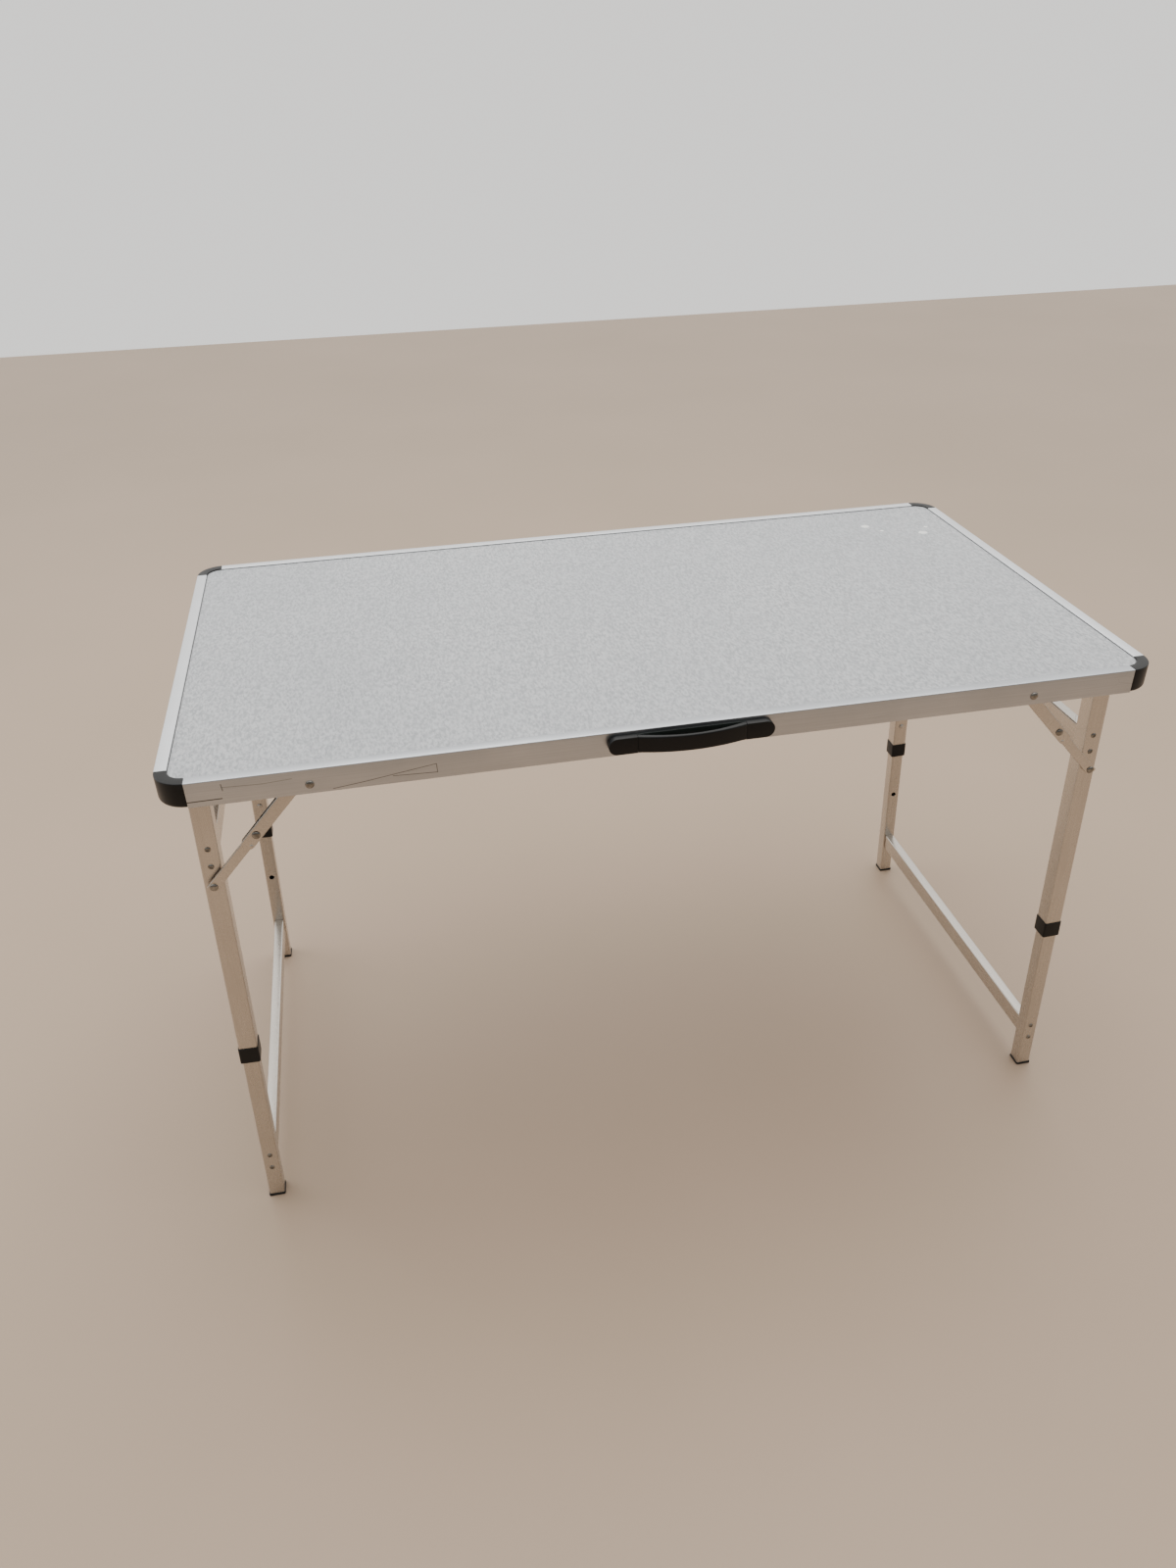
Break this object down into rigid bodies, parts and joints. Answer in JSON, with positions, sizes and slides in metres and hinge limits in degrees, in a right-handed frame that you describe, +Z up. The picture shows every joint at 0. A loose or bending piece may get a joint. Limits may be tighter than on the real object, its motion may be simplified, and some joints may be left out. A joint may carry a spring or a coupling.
{
  "type": "folding table",
  "caption": "Folding camping table: framed grey top, carrying handle, leg frames that fold under it with two-link stays, and sliding lower legs for height.",
  "frame": {"origin": "on the floor, under the middle of the whole object's box with the legs extended", "axes": "+X along the length, to the right seen from the handle's side; +Y from the handle's side to the back; +Z up"},
  "size_m": [1.2, 0.6726, 0.728],
  "materials": {
    "panel_laminate": "light grey embossed foil on thin board, satin",
    "rail_aluminium": "satin extruded",
    "leg_aluminium": "satin anodised, fairly glossy",
    "black_plastic": "moulded, satin",
    "dark_plastic": "moulded, matt",
    "plated_steel": "zinc plated, domed heads polished by wear"
  },
  "bodies": {
    "tabletop": {"top_panel": "panel_laminate", "front_rail": "rail_aluminium", "back_rail": "rail_aluminium", "left_rail": "rail_aluminium", "right_rail": "rail_aluminium", "corner_cap_front_left": "black_plastic", "corner_cap_back_left": "black_plastic", "corner_cap_front_right": "black_plastic", "corner_cap_back_right": "black_plastic", "handle_base": "dark_plastic", "handle_end_left": "black_plastic", "handle_end_right": "black_plastic", "hinge_bracket_front_left": "plated_steel", "hinge_bracket_back_left": "plated_steel", "hinge_bracket_front_right": "plated_steel", "hinge_bracket_back_right": "plated_steel", "stay_pin_front_left": "plated_steel", "stay_pin_back_left": "plated_steel", "stay_pin_front_right": "plated_steel", "stay_pin_back_right": "plated_steel"},
    "handle_strap": {"handle_strap": "black_plastic"},
    "left_upper_frame": {"upper_leg_front_left": "leg_aluminium", "upper_leg_back_left": "leg_aluminium", "upper_crossbar_left": "leg_aluminium", "leg_collar_front_left": "black_plastic", "leg_collar_back_left": "black_plastic", "hinge_pin_front_left": "plated_steel", "hinge_pin_back_left": "plated_steel"},
    "left_lower_frame": {"lower_leg_front_left": "leg_aluminium", "lower_leg_back_left": "leg_aluminium", "lower_crossbar_left": "leg_aluminium", "foot_front_left": "black_plastic", "foot_back_left": "black_plastic"},
    "snap_button_front_left": {"snap_button_front_left": "plated_steel"},
    "snap_button_back_left": {"snap_button_back_left": "plated_steel"},
    "stay_upper_link_front_left": {"stay_upper_link_front_left": "leg_aluminium"},
    "stay_lower_link_front_left": {"stay_lower_link_front_left": "leg_aluminium"},
    "stay_upper_link_back_left": {"stay_upper_link_back_left": "leg_aluminium"},
    "stay_lower_link_back_left": {"stay_lower_link_back_left": "leg_aluminium"},
    "right_upper_frame": {"upper_leg_front_right": "leg_aluminium", "upper_leg_back_right": "leg_aluminium", "upper_crossbar_right": "leg_aluminium", "leg_collar_front_right": "black_plastic", "leg_collar_back_right": "black_plastic", "hinge_pin_front_right": "plated_steel", "hinge_pin_back_right": "plated_steel"},
    "right_lower_frame": {"lower_leg_front_right": "leg_aluminium", "lower_leg_back_right": "leg_aluminium", "lower_crossbar_right": "leg_aluminium", "foot_front_right": "black_plastic", "foot_back_right": "black_plastic"},
    "snap_button_front_right": {"snap_button_front_right": "plated_steel"},
    "snap_button_back_right": {"snap_button_back_right": "plated_steel"},
    "stay_upper_link_front_right": {"stay_upper_link_front_right": "leg_aluminium"},
    "stay_lower_link_front_right": {"stay_lower_link_front_right": "leg_aluminium"},
    "stay_upper_link_back_right": {"stay_upper_link_back_right": "leg_aluminium"},
    "stay_lower_link_back_right": {"stay_lower_link_back_right": "leg_aluminium"}
  },
  "joints": [
    {"name": "handle_lift", "type": "slide", "parent": "tabletop", "child": "handle_strap", "axis": [0, -1, 0], "range_m": [0, 0.003], "stiffness_N_per_m": 500},
    {"name": "left_fold", "type": "hinge", "parent": "tabletop", "child": "left_upper_frame", "pos_m": [-0.5625, 0.0087, 0.7085], "axis": [0, -1, 0], "range_deg": [0, 91.78]},
    {"name": "left_height", "type": "slide", "parent": "left_upper_frame", "child": "left_lower_frame", "axis": [0.0311, 0, 0.9995], "range_m": [0, 0.15]},
    {"name": "press_front_left", "type": "slide", "parent": "left_upper_frame", "child": "snap_button_front_left", "axis": [0, -1, 0], "range_m": [0, 0.0022], "stiffness_N_per_m": 300},
    {"name": "press_back_left", "type": "slide", "parent": "left_upper_frame", "child": "snap_button_back_left", "axis": [0, 1, 0], "range_m": [0, 0.0022], "stiffness_N_per_m": 300},
    {"name": "stay_top_front_left", "type": "hinge", "parent": "tabletop", "child": "stay_upper_link_front_left", "pos_m": [-0.434, -0.2754, 0.7085], "axis": [0, -1, 0], "range_deg": [0, 132]},
    {"name": "stay_elbow_front_left", "type": "hinge", "parent": "stay_upper_link_front_left", "child": "stay_lower_link_front_left", "pos_m": [-0.50707, -0.2754, 0.62729], "axis": [0, -1, 0], "range_deg": [-180, 0]},
    {"name": "stay_top_back_left", "type": "hinge", "parent": "tabletop", "child": "stay_upper_link_back_left", "pos_m": [-0.434, 0.2928, 0.7085], "axis": [0, -1, 0], "range_deg": [0, 132]},
    {"name": "stay_elbow_back_left", "type": "hinge", "parent": "stay_upper_link_back_left", "child": "stay_lower_link_back_left", "pos_m": [-0.50707, 0.2928, 0.62729], "axis": [0, -1, 0], "range_deg": [-180, 0]},
    {"name": "right_fold", "type": "hinge", "parent": "tabletop", "child": "right_upper_frame", "pos_m": [0.5625, 0.0087, 0.7085], "axis": [0, 1, 0], "range_deg": [0, 91.78]},
    {"name": "right_height", "type": "slide", "parent": "right_upper_frame", "child": "right_lower_frame", "axis": [-0.0311, 0, 0.9995], "range_m": [0, 0.15]},
    {"name": "press_front_right", "type": "slide", "parent": "right_upper_frame", "child": "snap_button_front_right", "axis": [0, -1, 0], "range_m": [0, 0.0022], "stiffness_N_per_m": 300},
    {"name": "press_back_right", "type": "slide", "parent": "right_upper_frame", "child": "snap_button_back_right", "axis": [0, 1, 0], "range_m": [0, 0.0022], "stiffness_N_per_m": 300},
    {"name": "stay_top_front_right", "type": "hinge", "parent": "tabletop", "child": "stay_upper_link_front_right", "pos_m": [0.434, -0.2754, 0.7085], "axis": [0, 1, 0], "range_deg": [0, 132]},
    {"name": "stay_elbow_front_right", "type": "hinge", "parent": "stay_upper_link_front_right", "child": "stay_lower_link_front_right", "pos_m": [0.50707, -0.2754, 0.62729], "axis": [0, 1, 0], "range_deg": [-180, 0]},
    {"name": "stay_top_back_right", "type": "hinge", "parent": "tabletop", "child": "stay_upper_link_back_right", "pos_m": [0.434, 0.2928, 0.7085], "axis": [0, 1, 0], "range_deg": [0, 132]},
    {"name": "stay_elbow_back_right", "type": "hinge", "parent": "stay_upper_link_back_right", "child": "stay_lower_link_back_right", "pos_m": [0.50707, 0.2928, 0.62729], "axis": [0, 1, 0], "range_deg": [-180, 0]}
  ],
  "couplings": [
    {"joint": "stay_top_front_left", "follows": "left_fold", "ratio": 1.438},
    {"joint": "stay_elbow_front_left", "follows": "left_fold", "ratio": -1.9612},
    {"joint": "stay_top_back_left", "follows": "left_fold", "ratio": 1.438},
    {"joint": "stay_elbow_back_left", "follows": "left_fold", "ratio": -1.9612},
    {"joint": "stay_top_front_right", "follows": "right_fold", "ratio": 1.438},
    {"joint": "stay_elbow_front_right", "follows": "right_fold", "ratio": -1.9612},
    {"joint": "stay_top_back_right", "follows": "right_fold", "ratio": 1.438},
    {"joint": "stay_elbow_back_right", "follows": "right_fold", "ratio": -1.9612}
  ]
}
